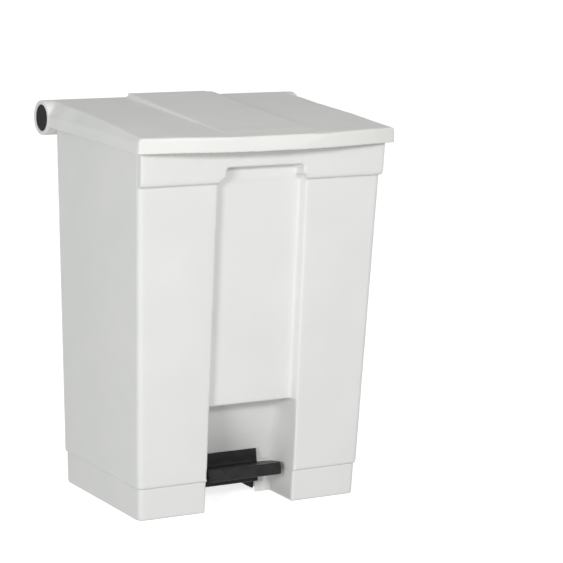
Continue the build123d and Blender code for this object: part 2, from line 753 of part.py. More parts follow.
with BuildPart() as lift_lug:
    add(
        side_prism(
            [
                (LUG_PLATE_FRONT, lid_underside(LUG_PLATE_FRONT)),
                (LUG_PLATE_REAR, lid_underside(LUG_PLATE_REAR)),
                (LUG_PLATE_REAR, lid_underside(LUG_PLATE_REAR) - LUG_PLATE_THICKNESS),
                (LUG_PLATE_FRONT, lid_underside(LUG_PLATE_FRONT) - LUG_PLATE_THICKNESS),
            ],
            -LUG_PLATE_HALF,
            LUG_PLATE_HALF,
        )
    )
    with BuildSketch(Plane.YZ.offset(-LUG_WEB_HALF)):
        with BuildLine():
            CenterArc((nose_y, nose_z), LUG_NOSE, 0, 360)
            Line(
                (LUG_WEB_FRONT, lid_underside(LUG_WEB_FRONT) - LUG_PLATE_THICKNESS + 1),
                (LUG_PLATE_REAR, lid_underside(LUG_PLATE_REAR) - LUG_PLATE_THICKNESS + 1),
            )
        make_hull()
    extrude(amount=2 * LUG_WEB_HALF)
write_node(lift_lug.part, "lift_lug")

LUG_SCREW_X = 15.0
LUG_SCREW_PLACES = (111.0, 135.0)
LUG_SCREW_HEAD_RADIUS = 3.5
LUG_SCREW_HEAD = 2.2
lug_screw_spots = [(x, y) for x in (-LUG_SCREW_X, LUG_SCREW_X) for y in LUG_SCREW_PLACES]
with BuildPart() as lug_screws:
    for x, y in lug_screw_spots:
        seat = lid_underside(y) - LUG_PLATE_THICKNESS
        with BuildSketch(Plane((x, y, seat), z_dir=(0, -lid_slope, 1))):
            Circle(LUG_SCREW_HEAD_RADIUS)
        extrude(amount=-LUG_SCREW_HEAD)
write_node(lug_screws.part, "lug_screws")

BUMPER_GAP = 0.2
BUMPER_EDGE = 1.0
for side, label in ((-1, "lid_bumper_left"), (1, "lid_bumper_right")):
    with BuildPart() as bumper:
        with BuildSketch(Plane.XY.offset(RIM_TOP + BUMPER_GAP)):
            with Locations((side * BUMPER_X, BUMPER_Y)):
                Circle(BUMPER_RADIUS)
        extrude(amount=BUMPER_SEAT - RIM_TOP - BUMPER_GAP)
        fillet(bumper.edges().group_by(Axis.Z)[0], BUMPER_EDGE)
    write_node(bumper.part, label)


# ---------------------------------------------------------------- pedal assembly
# Its side views are drawn in the lever's own frame: first value rearward along the lever from the
# pivot, second value up from the lever's axis. At rest the front of the lever stands high.
tilt = radians(pedal_tilt)


def lever_plane(x):
    """Side-view plane of the tilted lever at a position across the bin."""
    return Plane(
        (x, PIVOT_Y, PIVOT_Z), x_dir=(0, cos(tilt), -sin(tilt)), z_dir=(1, 0, 0),
    )


def lever_prism(points, left, right):
    """Solid with one outline in the lever's frame, from x = left to x = right."""
    with BuildPart() as prism:
        with BuildSketch(lever_plane(left)):
            with BuildLine():
                Polyline(*points, close=True)
            make_face()
        extrude(amount=right - left)
    return prism.part


def lever_cylinder(along, up, radius, left, right):
    """Cylinder across the lever at a place in the lever's frame."""
    with BuildPart() as cylinder:
        with BuildSketch(lever_plane(left)):
            with Locations((along, up)):
                Circle(radius)
        extrude(amount=right - left)
    return cylinder.part


def box_outline(start, end, low, high):
    """Corners of a rectangle in the lever's frame."""
    return [(start, low), (end, low), (end, high), (start, high)]


TREAD_FRONT = -112.0
TREAD_REAR = -62.0
TREAD_TOP = 1.0
TREAD_UNDERSIDE = -4.0
LIP_BOTTOM = -19.5
LIP_THICKNESS = 4.0
SHIELD_FRONT = -60.0
SHIELD_THICKNESS = 3.0
SHIELD_BOTTOM = -33.0
SHIELD_TOP = 24.5
BAR_TOP = 8.0
BAR_FRONT_TOP = -4.2
BAR_FRONT_BOTTOM = -18.0
BAR_REAR = LEVER_REACH + 9.0
RIB_THICKNESS = 3.5
RIB_GAP = 0.2
RIVET_SPOTS = [(-98.0, -11.0), (-68.0, -11.0)]
RIVET_RADIUS = 2.5
RIVET_HEAD = 1.5
SLOT_REACH = 5.0
BAR_END_GAP = 0.5
BAR_SHIELD_REACH = 6.0
BAR_NECK = -25.0
HUB_RADIUS = 13.0
BUSH_RADIUS = 8.0

with BuildPart() as pedal:
    tread_outline = box_outline(TREAD_FRONT, TREAD_REAR, LIP_BOTTOM, TREAD_TOP)
    add(lever_prism(tread_outline, -PEDAL_HALF, PEDAL_HALF))
    upright = pedal.edges().filter_by(
        lambda edge: abs(edge.length - TREAD_TOP + LIP_BOTTOM) < 0.01
    )
    fillet(upright, PEDAL_CORNER)
    add(
        lever_prism(
            box_outline(TREAD_FRONT + LIP_THICKNESS, TREAD_REAR + 1, LIP_BOTTOM - 1, TREAD_UNDERSIDE),
            -PEDAL_HALF + LIP_THICKNESS,
            PEDAL_HALF - LIP_THICKNESS,
        ),
        mode=Mode.SUBTRACT,
    )
    add(
        lever_prism(
            box_outline(TREAD_REAR - PEDAL_CORNER, SHIELD_FRONT + 1, TREAD_UNDERSIDE, TREAD_TOP),
            -SHIELD_HALF,
            SHIELD_HALF,
        )
    )
    add(
        lever_prism(
            box_outline(SHIELD_FRONT, SHIELD_FRONT + SHIELD_THICKNESS, SHIELD_BOTTOM, SHIELD_TOP),
            -SHIELD_HALF,
            SHIELD_HALF,
        )
    )
    # Paired ribs hold the two lever bars.
    for side in (-1, 1):
        for offset in (-1, 1):
            rib = side * LEVER_X + offset * (LEVER_THICKNESS / 2 + RIB_GAP + RIB_THICKNESS / 2)
            add(
                lever_prism(
                    box_outline(
                        TREAD_FRONT + 1, SHIELD_FRONT + 1, BAR_FRONT_BOTTOM - 1, TREAD_UNDERSIDE + 1
                    ),
                    rib - RIB_THICKNESS / 2,
                    rib + RIB_THICKNESS / 2,
                )
            )
        slot_half = LEVER_THICKNESS / 2 + RIB_GAP
        add(
            lever_prism(
                box_outline(
                    SHIELD_FRONT - SLOT_REACH,
                    SHIELD_FRONT + SLOT_REACH,
                    BAR_FRONT_BOTTOM - BAR_END_GAP,
                    BAR_FRONT_TOP + 2 * AXLE_FIT,
                ),
                side * LEVER_X - slot_half,
                side * LEVER_X + slot_half,
            ),
            mode=Mode.SUBTRACT,
        )
    for along, up in RIVET_SPOTS:
        add(
            lever_cylinder(along, up, RIVET_RADIUS + RUNNING, -SHIELD_HALF, SHIELD_HALF),
            mode=Mode.SUBTRACT,
        )
write_node(pedal.part, "pedal")

bar_outline = [
    (TREAD_FRONT + LIP_THICKNESS + BAR_END_GAP, BAR_FRONT_BOTTOM),
    (SHIELD_FRONT + BAR_SHIELD_REACH, BAR_FRONT_BOTTOM),
    (BAR_NECK, -BAR_TOP),
    (BAR_REAR, -BAR_TOP),
    (BAR_REAR, BAR_TOP),
    (BAR_NECK, BAR_TOP),
    (SHIELD_FRONT + BAR_SHIELD_REACH, BAR_FRONT_TOP),
    (TREAD_FRONT + LIP_THICKNESS + BAR_END_GAP, BAR_FRONT_TOP),
]
for side, label in ((-1, "lever_left"), (1, "lever_right")):
    left = side * LEVER_X - LEVER_THICKNESS / 2
    right = side * LEVER_X + LEVER_THICKNESS / 2
    with BuildPart() as lever:
        add(lever_prism(bar_outline, left, right))
        add(lever_cylinder(0, 0, HUB_RADIUS, left, right))
        add(lever_cylinder(0, 0, BUSH_RADIUS + PRESS_FIT, left, right), mode=Mode.SUBTRACT)
        add(lever_cylinder(LEVER_REACH, 0, AXLE_RADIUS + PRESS_FIT, left, right), mode=Mode.SUBTRACT)
        for along, up in RIVET_SPOTS:
            add(lever_cylinder(along, up, RIVET_RADIUS + AXLE_FIT, left, right), mode=Mode.SUBTRACT)
    write_node(lever.part, label)

with BuildPart() as lever_rivets:
    for side in (-1, 1):
        reach = LEVER_THICKNESS / 2 + RIB_GAP + RIB_THICKNESS
        for along, up in RIVET_SPOTS:
            left = side * LEVER_X - reach
            right = side * LEVER_X + reach
            add(lever_cylinder(along, up, RIVET_RADIUS, left, right))
            add(lever_cylinder(along, up, 2 * RIVET_RADIUS, left - RIVET_HEAD, left))
            add(lever_cylinder(along, up, 2 * RIVET_RADIUS, right, right + RIVET_HEAD))
write_node(lever_rivets.part, "lever_rivets")

BUSH_FLANGE = 2.0
BUSH_FLANGE_RADIUS = 11.0
for side, label in ((-1, "axle_bush_left"), (1, "axle_bush_right")):
    inner = side * LEVER_X - LEVER_THICKNESS / 2
    outer = side * LEVER_X + LEVER_THICKNESS / 2
    flange_start = outer if side > 0 else inner - BUSH_FLANGE
    with BuildPart() as axle_bush:
        add(lever_cylinder(0, 0, BUSH_RADIUS, inner, outer))
        add(lever_cylinder(0, 0, BUSH_FLANGE_RADIUS, flange_start, flange_start + BUSH_FLANGE))
        add(
            lever_cylinder(0, 0, AXLE_RADIUS + RUNNING, inner - 5, outer + 5),
            mode=Mode.SUBTRACT,
        )
    write_node(axle_bush.part, label)

LIFT_BAR_HEAD = 7.5
LIFT_BAR_FLANGE = 2.5
with BuildPart() as lift_bar:
    outer = LEVER_X + LEVER_THICKNESS / 2
    add(lever_cylinder(LEVER_REACH, 0, AXLE_RADIUS, -outer, outer))
    add(lever_cylinder(LEVER_REACH, 0, LIFT_BAR_HEAD, outer, outer + LIFT_BAR_FLANGE))
    add(lever_cylinder(LEVER_REACH, 0, LIFT_BAR_HEAD, -outer - LIFT_BAR_FLANGE, -outer))
write_node(lift_bar.part, "lift_bar")


# ---------------------------------------------------------------- lift rod
rod_bottom = foot_bottom + 3
rod_top = pusher_top - 4
FOOT_HEIGHT = 18.0
FOOT_HALF = 12.0
FOOT_FRONT = 11.0
FOOT_REAR = 9.0
FOOT_NECK = 7.0
PUSHER_HALF = 6.0
PUSHER_BOTTOM = 586.0
PUSHER_FRONT = 129.5
PUSHER_REAR = 145.6
PUSHER_LIP = 6.0

with BuildPart() as lift_rod:
    with BuildSketch(Plane((0, rod_y(rod_bottom), rod_bottom), z_dir=(0, REAR_LEAN, 1))):
        Circle(LIFT_ROD_RADIUS)
    extrude(amount=rod_top - rod_bottom)
write_node(lift_rod.part, "lift_rod")

with BuildPart() as rod_foot:
    add(
        side_prism(
            [
                (rod_foot_y - FOOT_FRONT, foot_bottom),
                (rod_foot_y + FOOT_REAR, foot_bottom),
                (rod_foot_y + FOOT_NECK, foot_bottom + FOOT_HEIGHT),
                (rod_foot_y - FOOT_NECK, foot_bottom + FOOT_HEIGHT),
            ],
            -FOOT_HALF,
            FOOT_HALF,
        )
    )
    with BuildSketch(Plane((0, rod_y(rod_bottom), rod_bottom), z_dir=(0, REAR_LEAN, 1))):
        Circle(LIFT_ROD_RADIUS + PRESS_FIT)
    extrude(amount=FOOT_HEIGHT, mode=Mode.SUBTRACT)
write_node(rod_foot.part, "rod_foot")

with BuildPart() as rod_pusher:
    add(
        side_prism(
            [
                (PUSHER_FRONT, pusher_top),
                (PUSHER_REAR, pusher_top),
                (PUSHER_REAR, pusher_top - PUSHER_LIP),
                (rod_y(PUSHER_BOTTOM) + PUSHER_HALF, PUSHER_BOTTOM),
                (rod_y(PUSHER_BOTTOM) - PUSHER_HALF, PUSHER_BOTTOM),
                (PUSHER_FRONT, pusher_top - PUSHER_LIP),
            ],
            -PUSHER_HALF,
            PUSHER_HALF,
        )
    )
    bore_start = PUSHER_BOTTOM - 5
    with BuildSketch(Plane((0, rod_y(bore_start), bore_start), z_dir=(0, REAR_LEAN, 1))):
        Circle(LIFT_ROD_RADIUS + PRESS_FIT)
    extrude(amount=rod_top - bore_start, mode=Mode.SUBTRACT)
write_node(rod_pusher.part, "rod_pusher")
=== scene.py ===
"""Looks for the step-on waste bin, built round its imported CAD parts. Metres, +Z up, the front faces -Y."""
from math import radians

import bmesh
import bpy
from mathutils import Matrix, Vector


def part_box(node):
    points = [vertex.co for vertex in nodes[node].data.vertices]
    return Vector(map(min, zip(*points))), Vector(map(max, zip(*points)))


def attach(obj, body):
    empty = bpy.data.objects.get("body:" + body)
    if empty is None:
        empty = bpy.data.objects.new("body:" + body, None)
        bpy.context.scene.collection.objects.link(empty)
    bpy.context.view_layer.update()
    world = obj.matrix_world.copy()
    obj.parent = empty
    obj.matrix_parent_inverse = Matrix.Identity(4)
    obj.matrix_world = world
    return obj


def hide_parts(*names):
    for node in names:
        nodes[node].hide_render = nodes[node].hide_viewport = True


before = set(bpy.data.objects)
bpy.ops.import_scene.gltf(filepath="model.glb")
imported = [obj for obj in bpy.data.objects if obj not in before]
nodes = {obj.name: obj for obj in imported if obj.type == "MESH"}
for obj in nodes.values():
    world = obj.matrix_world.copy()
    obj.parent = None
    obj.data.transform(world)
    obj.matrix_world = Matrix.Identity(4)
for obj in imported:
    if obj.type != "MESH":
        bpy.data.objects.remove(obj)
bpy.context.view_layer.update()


# ---------------------------------------------------------------- materials
# Noise values seldom pass these.
NOISE_LOW = 0.3
NOISE_HIGH = 0.7


def new_finish(name, colour, roughness, specular=0.5, metallic=0.0):
    """A Principled finish and its shader, which its own function goes on with."""
    finish = bpy.data.materials.new(name)
    finish.use_nodes = True
    shader = finish.node_tree.nodes["Principled BSDF"]
    shader.inputs["Base Color"].default_value = (*colour, 1.0)
    shader.inputs["Roughness"].default_value = roughness
    shader.inputs["Specular IOR Level"].default_value = specular
    shader.inputs["Metallic"].default_value = metallic
    return finish, shader


def noise_at(finish, scale, detail=3.0, stretch=(1.0, 1.0, 1.0)):
    """Noise over Object coordinates, stretched along an axis where the finish has a grain."""
    tree = finish.node_tree
    place = tree.nodes.new("ShaderNodeTexCoord")
    mapping = tree.nodes.new("ShaderNodeMapping")
    mapping.inputs["Scale"].default_value = stretch
    noise = tree.nodes.new("ShaderNodeTexNoise")
    noise.inputs["Scale"].default_value = scale
    noise.inputs["Detail"].default_value = detail
    tree.links.new(place.outputs["Object"], mapping.inputs["Vector"])
    tree.links.new(mapping.outputs["Vector"], noise.inputs["Vector"])
    return noise


def ramp_between(finish, source, low, high, start=0.35, end=0.65):
    """Colour ramp from low to high, driven by a texture's value."""
    ramp = finish.node_tree.nodes.new("ShaderNodeValToRGB")
    ramp.color_ramp.elements[0].position = start
    ramp.color_ramp.elements[1].position = end
    ramp.color_ramp.elements[0].color = (*low, 1.0)
    ramp.color_ramp.elements[1].color = (*high, 1.0)
    finish.node_tree.links.new(source, ramp.inputs["Fac"])
    return ramp


def spread(finish, source, low, high):
    """A value that wanders between low and high with a texture."""
    reach = finish.node_tree.nodes.new("ShaderNodeMapRange")
    reach.inputs["From Min"].default_value = NOISE_LOW
    reach.inputs["From Max"].default_value = NOISE_HIGH
    reach.inputs["To Min"].default_value = low
    reach.inputs["To Max"].default_value = high
    finish.node_tree.links.new(source, reach.inputs["Value"])
    return reach.outputs["Result"]


def relief(finish, shader, height, depth, strength, under=None):
    """Bump of a real depth in metres, over another bump if given."""
    bump = finish.node_tree.nodes.new("ShaderNodeBump")
    bump.inputs["Distance"].default_value = depth
    bump.inputs["Strength"].default_value = strength
    finish.node_tree.links.new(height, bump.inputs["Height"])
    if under is not None:
        finish.node_tree.links.new(under.outputs["Normal"], bump.inputs["Normal"])
    finish.node_tree.links.new(bump.outputs["Normal"], shader.inputs["Normal"])
    return bump


def moulded_white(name, light, dark, roughness):
    """White moulded polyethylene: faint clouding, a fine matt grain and slow waves in the wall."""
    CLOUD_SCALE = 9.0
    GLOSS_SCALE = 26.0
    GLOSS_RANGE = 0.06
    WAVE_SCALE = 7.0
    WAVE_DEPTH = 0.002
    GRAIN_SCALE = 1400.0
    GRAIN_DEPTH = 0.00006
    finish, shader = new_finish(name, light, roughness, specular=0.35)
    cloud = noise_at(finish, CLOUD_SCALE, detail=4.0)
    tint = ramp_between(finish, cloud.outputs["Fac"], dark, light)
    finish.node_tree.links.new(tint.outputs["Color"], shader.inputs["Base Color"])
    gloss = noise_at(finish, GLOSS_SCALE, detail=3.0)
    finish.node_tree.links.new(
        spread(finish, gloss.outputs["Fac"], roughness - GLOSS_RANGE, roughness + GLOSS_RANGE),
        shader.inputs["Roughness"],
    )
    wave = noise_at(finish, WAVE_SCALE, detail=1.0)
    grain = noise_at(finish, GRAIN_SCALE, detail=2.0)
    waves = relief(finish, shader, wave.outputs["Fac"], WAVE_DEPTH, 0.25)
    relief(finish, shader, grain.outputs["Fac"], GRAIN_DEPTH, 0.5, waves)
    return finish


def moulded_black(name, grain_scale, grain_depth, roughness, specular=0.3):
    """Black moulded plastic with a pebbled grain and a little dust."""
    BLACK = (0.008, 0.008, 0.009)
    DUSTY = (0.017, 0.017, 0.018)
    DUST_SCALE = 60.0
    GLOSS_RANGE = 0.08
    finish, shader = new_finish(name, BLACK, roughness, specular)
    pebble = finish.node_tree.nodes.new("ShaderNodeTexVoronoi")
    pebble.feature = "SMOOTH_F1"
    pebble.inputs["Scale"].default_value = grain_scale
    place = finish.node_tree.nodes.new("ShaderNodeTexCoord")
    finish.node_tree.links.new(place.outputs["Object"], pebble.inputs["Vector"])
    dust = noise_at(finish, DUST_SCALE, detail=5.0)
    tint = ramp_between(finish, dust.outputs["Fac"], BLACK, DUSTY, start=0.4, end=0.8)
    finish.node_tree.links.new(tint.outputs["Color"], shader.inputs["Base Color"])
    finish.node_tree.links.new(
        spread(finish, dust.outputs["Fac"], roughness - GLOSS_RANGE, roughness + GLOSS_RANGE),
        shader.inputs["Roughness"],
    )
    relief(finish, shader, pebble.outputs["Distance"], grain_depth, 0.6)
    return finish


def drawn_steel(name, colour, roughness, grain):
    """Plated or drawn steel: fine lines along its length and a cloudy plating."""
    LINE_SCALE = 900.0
    LINE_DEPTH = 0.00004
    CLOUD_SCALE = 45.0
    CLOUD_SHADE = 0.82
    finish, shader = new_finish(name, colour, roughness, metallic=1.0)
    lines = noise_at(finish, LINE_SCALE, 2.0, grain)
    cloud = noise_at(finish, CLOUD_SCALE, detail=4.0)
    tint = ramp_between(finish, cloud.outputs["Fac"], [CLOUD_SHADE * c for c in colour], colour)
    finish.node_tree.links.new(tint.outputs["Color"], shader.inputs["Base Color"])
    finish.node_tree.links.new(
        spread(finish, lines.outputs["Fac"], roughness - 0.08, roughness + 0.1),
        shader.inputs["Roughness"],
    )
    relief(finish, shader, lines.outputs["Fac"], LINE_DEPTH, 0.4)
    return finish


def moulded_nylon(name, colour):
    """Natural grey nylon of the guides, the bushes and the push rod's two ends."""
    CLOUD_SCALE = 35.0
    CLOUD_SHADE = 0.86
    GRAIN_SCALE = 700.0
    GRAIN_DEPTH = 0.00006
    finish, shader = new_finish(name, colour, 0.48)
    cloud = noise_at(finish, CLOUD_SCALE, detail=4.0)
    tint = ramp_between(finish, cloud.outputs["Fac"], [CLOUD_SHADE * c for c in colour], colour)
    finish.node_tree.links.new(tint.outputs["Color"], shader.inputs["Base Color"])
    grain = noise_at(finish, GRAIN_SCALE, detail=2.0)
    relief(finish, shader, grain.outputs["Fac"], GRAIN_DEPTH, 0.4)
    return finish


ALONG_X = (0.03, 1.0, 1.0)
ALONG_Y = (1.0, 0.2, 1.0)
ALONG_Z = (1.0, 1.0, 0.03)
NO_GRAIN = (1.0, 1.0, 1.0)
BRIGHT = (0.62, 0.62, 0.61)
WHITE = (0.80, 0.80, 0.79)
WHITE_SHADE = (0.775, 0.778, 0.77)
LID_WHITE = (0.81, 0.81, 0.795)
LID_SHADE = (0.785, 0.787, 0.77)
body_white = moulded_white("body_white", WHITE, WHITE_SHADE, 0.46)
lid_white = moulded_white("lid_white", LID_WHITE, LID_SHADE, 0.42)
plinth_white = moulded_white("plinth_white", WHITE, WHITE_SHADE, 0.48)
cover_white = moulded_white("cover_white", WHITE, WHITE_SHADE, 0.50)
pedal_black = moulded_black("pedal_black", grain_scale=620.0, grain_depth=0.0004, roughness=0.42)
cap_black = moulded_black(
    "cap_black", grain_scale=1100.0, grain_depth=0.00008, roughness=0.55, specular=0.12
)
soft_black = moulded_black("soft_black", grain_scale=1500.0, grain_depth=0.0001, roughness=0.72)
nylon = moulded_nylon("grey_nylon", (0.42, 0.42, 0.40))
rod_steel = drawn_steel("rod_steel", BRIGHT, roughness=0.26, grain=ALONG_Z)
axle_steel = drawn_steel("axle_steel", BRIGHT, roughness=0.26, grain=ALONG_X)
zinc_steel = drawn_steel("zinc_steel", (0.55, 0.56, 0.57), roughness=0.36, grain=ALONG_Y)
zinc_screw = drawn_steel("zinc_screw", (0.58, 0.58, 0.57), roughness=0.32, grain=NO_GRAIN)


# ---------------------------------------------------------------- pieces
SMOOTH_BELOW = 40.0
SMOOTH_ALL_OVER = 180.0


def finished(bm, name, body, finish, node, smooth_below=SMOOTH_BELOW):
    """The piece's object: smooth but for its sharp edges, riding on its body in its node's place."""
    for face in bm.faces:
        face.smooth = True
    for edge in bm.edges:
        edge.smooth = len(edge.link_faces) == 2 and edge.calc_face_angle(0.0) < radians(smooth_below)
    mesh = bpy.data.meshes.new(name)
    bm.to_mesh(mesh)
    bm.free()
    piece = bpy.data.objects.new(name, mesh)
    bpy.context.scene.collection.objects.link(piece)
    mesh.materials.append(finish)
    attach(piece, body)
    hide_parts(node)
    return piece


def rounded(piece, width, segments):
    """Sharp edges get a small radius."""
    SHARP_ABOVE = 30.0
    bevel = piece.modifiers.new("edges", "BEVEL")
    bevel.width = width
    bevel.segments = segments
    bevel.limit_method = "ANGLE"
    bevel.angle_limit = radians(SHARP_ABOVE)
    bevel.harden_normals = True


def thinned(piece, ratio):
    """An even skin keeps this share of its triangles."""
    thin = piece.modifiers.new("thin", "DECIMATE")
    thin.ratio = ratio


def merged_copy(node):
    """A CAD node's mesh with its loose triangles merged into whole faces."""
    MERGE_WITHIN = 1e-5
    FLAT_WITHIN = 0.5
    bm = bmesh.new()
    bm.from_mesh(nodes[node].data)
    bmesh.ops.remove_doubles(bm, verts=bm.verts, dist=MERGE_WITHIN)
    bmesh.ops.dissolve_limit(
        bm,
        angle_limit=radians(FLAT_WITHIN),
        verts=bm.verts,
        edges=bm.edges,
        use_dissolve_boundaries=False,
    )
    return bm


def softened(node, name, body, finish, width, segments=3):
    """A piece of the CAD node's own shape with its edges rounded."""
    rounded(finished(merged_copy(node), name, body, finish, node), width, segments)


BRACKET_EDGE = 0.0008
MOULDED_EDGE = 0.0006
PRESSED_EDGE = 0.0005
TURNED_EDGE = 0.0004
SCREW_EDGE = 0.0003
CLIP_EDGE = 0.0002

softened("axle_cradle", "cradle", "bin_body", soft_black, MOULDED_EDGE)
softened("rear_cover", "groove_cover", "bin_body", cover_white, MOULDED_EDGE)
for side in ("left", "right"):
    softened(
        f"hinge_bracket_{side}", f"bracket_{side}", "bin_body", cover_white, BRACKET_EDGE
    )
    softened(f"end_cap_{side}", f"barrel_cap_{side}", "lid", cap_black, MOULDED_EDGE)
    softened(f"lid_bumper_{side}", f"bumper_{side}", "lid", soft_black, MOULDED_EDGE)
    softened(f"lever_{side}", f"pedal_lever_{side}", "pedal", zinc_steel, TURNED_EDGE, 2)
    softened(f"axle_bush_{side}", f"bush_{side}", "pedal", nylon, SCREW_EDGE, 2)
    softened(f"axle_clip_{side}", f"clip_{side}", "bin_body", zinc_steel, CLIP_EDGE, 2)


EVERYWHERE = (-1.0, 1.0)


def part_of(verts, across=EVERYWHERE, aside=EVERYWHERE, along=EVERYWHERE, up=EVERYWHERE):
    """The vertices between limits in metres: x, distance from the middle plane, y and z."""
    return [
        v for v in verts
        if across[0] < v.co.x < across[1]
        and aside[0] < abs(v.co.x) < aside[1]
        and along[0] < v.co.y < along[1]
        and up[0] < v.co.z < up[1]
    ]


def soften_verts(bm, verts, times):
    """Evens out a region, as a moulding's soft shoulders are."""
    for _ in range(times):
        bmesh.ops.smooth_vert(
            bm, verts=verts, factor=0.5, use_axis_x=True, use_axis_y=True, use_axis_z=True
        )


def even_skin(bm, voxel):
    """The same closed shape as an even mesh."""
    rough = bpy.data.meshes.new("rough")
    bm.to_mesh(rough)
    bm.free()
    holder = bpy.data.objects.new("rough", rough)
    bpy.context.scene.collection.objects.link(holder)
    remesh = holder.modifiers.new("even", "REMESH")
    remesh.mode = "VOXEL"
    remesh.voxel_size = voxel
    graph = bpy.context.evaluated_depsgraph_get()
    even = bmesh.new()
    even.from_mesh(holder.evaluated_get(graph).to_mesh())
    bpy.data.objects.remove(holder)
    bpy.data.meshes.remove(rough)
    return even


def ramp(value, start, end):
    """0 before start, 1 past end, smooth between them."""
    share = min(max((value - start) / (end - start), 0.0), 1.0)
    return share * share * (3.0 - 2.0 * share)


def proud_verts(bm):
    """The vertices on outside edges, with their neighbours, but not those in inside corners."""
    CURVED = 0.00012
    proud, sunk = set(), set()
    for v in bm.verts:
        around = [e.other_vert(v).co for e in v.link_edges]
        lean = (sum(around, Vector()) / len(around) - v.co).dot(v.normal)
        if lean < -CURVED:
            proud.add(v)
        elif lean > CURVED:
            sunk.add(v)
    wanted = (proud | {e.other_vert(v) for v in proud for e in v.link_edges}) - sunk
    return [v for v in bm.verts if v in wanted]


def moulded_tub():
    """Tub with the soft edges and corners of a rotational moulding."""
    VOXEL = 0.0022
    KEEP = 0.21
    # The step over the plinth stays crisp inside the recess.
    RECESS_SIDE = 0.09
    STEP_HEIGHT = 0.0546
    STEP_REACH = 0.004
    # The band's ends come level with the tub's sides, which lean out from the floor.
    SIDE_AT_FLOOR = 0.2129
    SIDE_LEAN = 0.034
    # The recess's side walls reach down over the plinth's lining, so that no seam shows there.
    LINING_FOOT = 0.004
    LINING_COVER = 0.0002

    bm = even_skin(merged_copy("tub"), VOXEL)
    edges = [
        v for v in proud_verts(bm)
        if abs(v.co.x) > RECESS_SIDE or abs(v.co.z - STEP_HEIGHT) > STEP_REACH
    ]
    soften_verts(bm, edges, 6)
    recess_corners = part_of(bm.verts, aside=(0.062, 0.0885), along=(-0.100, -0.042), up=(0.060, 0.186))
    soften_verts(bm, recess_corners, 24)

    band_ends = part_of(bm.verts, aside=(0.222, 1.0), along=(-1.0, -0.1465), up=(0.558, 0.634))
    for v in band_ends:
        side_wall = SIDE_AT_FLOOR + SIDE_LEAN * v.co.z
        v.co.x = min(max(v.co.x, -side_wall), side_wall)
    soften_verts(bm, part_of(band_ends, along=(-1.0, -0.1500)), 12)
    soften_verts(bm, part_of(edges, along=(-1.0, -0.1515), up=(0.558, 0.572)), 12)

    for v in part_of(bm.verts, aside=(0.0835, 0.0895), along=(-0.134, -0.052), up=(-1.0, 0.0575)):
        v.co.z = LINING_FOOT
        v.co.x -= LINING_COVER if v.co.x > 0.0 else -LINING_COVER
    piece = finished(bm, "tub_shell", "bin_body", body_white, "tub", SMOOTH_ALL_OVER)
    thinned(piece, KEEP)


def moulded_plinth():
    """Plinth with lightly rounded edges."""
    VOXEL = 0.0020
    KEEP = 0.5
    RECESS_SIDE = 0.09
    BELOW_STEP = 0.050
    bm = even_skin(merged_copy("base_frame"), VOXEL)
    edges = [v for v in proud_verts(bm) if abs(v.co.x) > RECESS_SIDE or v.co.z < BELOW_STEP]
    soften_verts(bm, edges, 3)
    piece = finished(
        bm, "plinth", "bin_body", plinth_white, "base_frame", SMOOTH_ALL_OVER
    )
    thinned(piece, KEEP)


def moulded_pedal():
    """Pedal tread with its lip and shield."""
    VOXEL = 0.0011
    KEEP = 0.6
    bm = even_skin(merged_copy("pedal"), VOXEL)
    soften_verts(bm, bm.verts[:], 3)
    piece = finished(bm, "pedal_tread", "pedal", pedal_black, "pedal", SMOOTH_ALL_OVER)
    thinned(piece, KEEP)


def moulded_lid():
    """Lid with its hinge barrel: soft neck, flared skirt and a raised panel that fades out forward."""
    VOXEL = 0.0020
    KEEP = 0.55
    SKIRT_HEIGHT = 0.024
    FLARE = 0.005
    DROOP = 0.0025
    LIFT = 0.0018
    PANEL_LIFT = 0.0009
    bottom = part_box("lid")[0][2]

    bm = even_skin(merged_copy("lid"), VOXEL)
    proud = proud_verts(bm)
    left_step = set(part_of(proud, across=(-0.092, -0.080), up=(0.646, 1.0)))
    edges = [v for v in proud if v not in left_step]
    soften_verts(bm, edges, 2)
    soften_verts(bm, part_of(edges, along=(-1.0, -0.150), up=(0.636, 1.0)), 4)
    neck = part_of(bm.verts, aside=(0.212, 0.2485), along=(0.128, 1.0))
    soften_verts(bm, neck, 12)
    right_step = part_of(bm.verts, across=(0.066, 0.108), along=(-1.0, 0.205), up=(0.645, 1.0))
    soften_verts(bm, right_step, 40)

    for v in bm.verts:
        # The skirt flares outward to its lower edge, and the top droops at the front corners.
        up = ramp(v.co.z, bottom, bottom + SKIRT_HEIGHT)
        outward = ramp(abs(v.co.x), 0.200, 0.246) * ramp(-v.co.y, -0.120, -0.060)
        v.co.x -= FLARE * up * outward * (1.0 if v.co.x > 0.0 else -1.0)
        corner = ramp(abs(v.co.x), 0.170, 0.248) * ramp(-v.co.y, 0.030, 0.150)
        v.co.z -= DROOP * corner * up
        # The lower edge rises a little toward the corners.
        v.co.z += LIFT * corner * (1.0 - up)
        # The raised panel stands out a little as far as the front.
        panel = 1.0 - ramp(abs(v.co.x), 0.0845, 0.0865)
        forward = ramp(-v.co.y, -0.100, 0.128) * ramp(v.co.y, -0.180, -0.150)
        v.co.z += PANEL_LIFT * panel * up * forward
    piece = finished(bm, "lid_shell", "lid", lid_white, "lid", SMOOTH_ALL_OVER)
    thinned(piece, KEEP)


